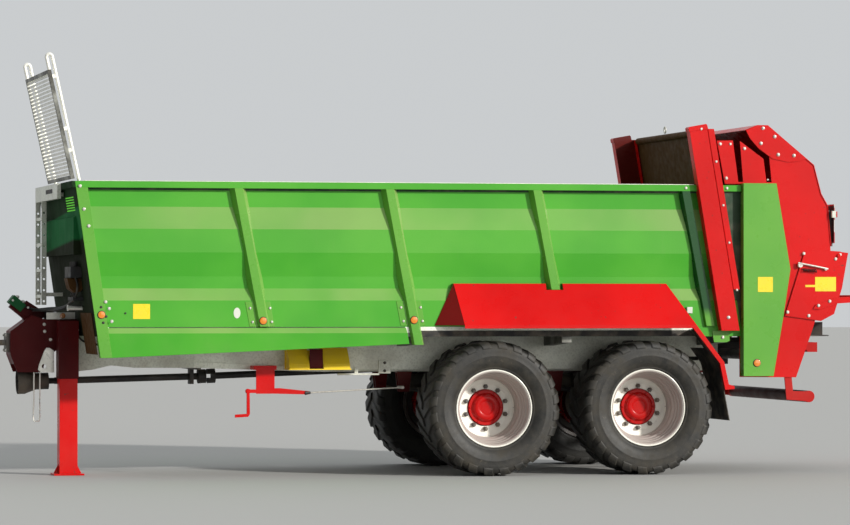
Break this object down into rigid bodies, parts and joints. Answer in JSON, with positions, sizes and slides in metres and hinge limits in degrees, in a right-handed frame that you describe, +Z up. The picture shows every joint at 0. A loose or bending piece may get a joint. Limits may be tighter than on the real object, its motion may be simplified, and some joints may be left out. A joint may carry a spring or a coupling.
{
  "type": "manure spreader",
  "caption": "Tandem-axle manure spreader with a leaning green box body, a sliding gate, horizontal beaters, spreading discs, red fenders and a towing eye.",
  "frame": {"origin": "ground level, in the middle of the overall length and width", "axes": "+X to the machine's rear, +Y to its right side, +Z up"},
  "size_m": [7.24, 2.5, 3.3065],
  "materials": {
    "green_paint": "gloss bright green paint",
    "dark_green_paint": "gloss dark green paint",
    "red_paint": "gloss bright red paint",
    "galvanised_steel": "matt galvanised",
    "rim_paint": "silver white paint",
    "tyre_rubber": "dusty black rubber",
    "black_paint": "satin black paint",
    "black_rubber": "matt black",
    "lamp_plastic": "gloss red lens",
    "board_plastic": "white board with red stripes",
    "yellow_plastic": "yellow",
    "worn_steel": "worn grey steel",
    "soiled_steel": "bare steel with dried soil"
  },
  "bodies": {
    "chassis": {"frame_rails": "galvanised_steel", "cross_members": "galvanised_steel", "drawbar": "galvanised_steel", "hitch_head": "red_paint", "towing_eye": "worn_steel", "jack_sleeve": "red_paint", "drive_guard": "black_paint", "floor": "galvanised_steel", "floor_chains": "worn_steel", "chain_shafts": "worn_steel", "side_walls": "green_paint", "stakes": "green_paint", "front_wall": "dark_green_paint", "front_guard": "galvanised_steel", "ladder": "galvanised_steel", "fenders": "red_paint", "mudflaps": "black_rubber", "gate_posts": "red_paint", "side_plates": "red_paint", "hood": "red_paint", "chain_cover": "green_paint", "disc_gearbox": "black_paint", "warning_boards": "board_plastic", "rear_tube": "red_paint", "axles": "black_paint", "springs": "black_paint", "hangers": "red_paint", "park_brake": "red_paint", "wheel_chocks": "yellow_plastic"},
    "jack": {"jack_leg": "red_paint"},
    "gate": {"gate_panel": "soiled_steel"},
    "flap": {"rear_flap": "red_paint", "light_bar": "red_paint", "tail_lamps": "lamp_plastic"},
    "lower_beater": {"beater_lower": "red_paint"},
    "upper_beater": {"beater_upper": "red_paint"},
    "left_disc": {"disc_left": "red_paint"},
    "right_disc": {"disc_right": "red_paint"},
    "input_shaft": {"front_shaft": "worn_steel"},
    "drive_shaft": {"rear_shaft": "worn_steel"},
    "wheel_front_left": {"tyre_front_left": "tyre_rubber", "rim_front_left": "rim_paint", "hub_front_left": "red_paint"},
    "wheel_front_right": {"tyre_front_right": "tyre_rubber", "rim_front_right": "rim_paint", "hub_front_right": "red_paint"},
    "wheel_rear_left": {"tyre_rear_left": "tyre_rubber", "rim_rear_left": "rim_paint", "hub_rear_left": "red_paint"},
    "wheel_rear_right": {"tyre_rear_right": "tyre_rubber", "rim_rear_right": "rim_paint", "hub_rear_right": "red_paint"}
  },
  "joints": [
    {"name": "wheel_front_left_spin", "type": "hinge", "parent": "chassis", "child": "wheel_front_left", "pos_m": [0.38, -0.975, 0.533], "axis": [0, 1, 0], "continuous": true},
    {"name": "wheel_front_right_spin", "type": "hinge", "parent": "chassis", "child": "wheel_front_right", "pos_m": [0.38, 0.975, 0.533], "axis": [0, 1, 0], "continuous": true},
    {"name": "wheel_rear_left_spin", "type": "hinge", "parent": "chassis", "child": "wheel_rear_left", "pos_m": [1.64, -0.975, 0.533], "axis": [0, 1, 0], "continuous": true},
    {"name": "wheel_rear_right_spin", "type": "hinge", "parent": "chassis", "child": "wheel_rear_right", "pos_m": [1.64, 0.975, 0.533], "axis": [0, 1, 0], "continuous": true},
    {"name": "beater_spin", "type": "hinge", "parent": "chassis", "child": "lower_beater", "pos_m": [2.665, 0, 1.6], "axis": [0, 1, 0], "continuous": true},
    {"name": "upper_beater_spin", "type": "hinge", "parent": "chassis", "child": "upper_beater", "pos_m": [2.6, 0, 2.14], "axis": [0, 1, 0], "continuous": true},
    {"name": "left_disc_spin", "type": "hinge", "parent": "chassis", "child": "left_disc", "pos_m": [2.93, -0.46, 1.1], "axis": [0, 0, 1], "continuous": true},
    {"name": "right_disc_spin", "type": "hinge", "parent": "chassis", "child": "right_disc", "pos_m": [2.93, 0.46, 1.1], "axis": [0, 0, 1], "continuous": true},
    {"name": "input_shaft_spin", "type": "hinge", "parent": "chassis", "child": "input_shaft", "pos_m": [-3.25, 0, 0.736], "axis": [0.9997, 0, 0.0261], "continuous": true},
    {"name": "drive_shaft_spin", "type": "hinge", "parent": "chassis", "child": "drive_shaft", "pos_m": [-1.72, 0, 0.776], "axis": [0.9993, 0, 0.0382], "continuous": true},
    {"name": "gate_lift", "type": "slide", "parent": "chassis", "child": "gate", "axis": [-0.1644, 0, 0.9864], "range_m": [0, 0.9]},
    {"name": "flap_swing", "type": "hinge", "parent": "chassis", "child": "flap", "pos_m": [3.285, 0, 1.75], "axis": [0, -1, 0], "range_deg": [0, 75]},
    {"name": "jack_slide", "type": "slide", "parent": "chassis", "child": "jack", "axis": [0, 0, 1], "range_m": [0, 0.36]}
  ],
  "couplings": [
    {"joint": "upper_beater_spin", "follows": "beater_spin", "ratio": 1},
    {"joint": "left_disc_spin", "follows": "beater_spin", "ratio": 1.5},
    {"joint": "right_disc_spin", "follows": "beater_spin", "ratio": -1.5},
    {"joint": "input_shaft_spin", "follows": "beater_spin", "ratio": 2.4},
    {"joint": "drive_shaft_spin", "follows": "beater_spin", "ratio": 2.4}
  ]
}
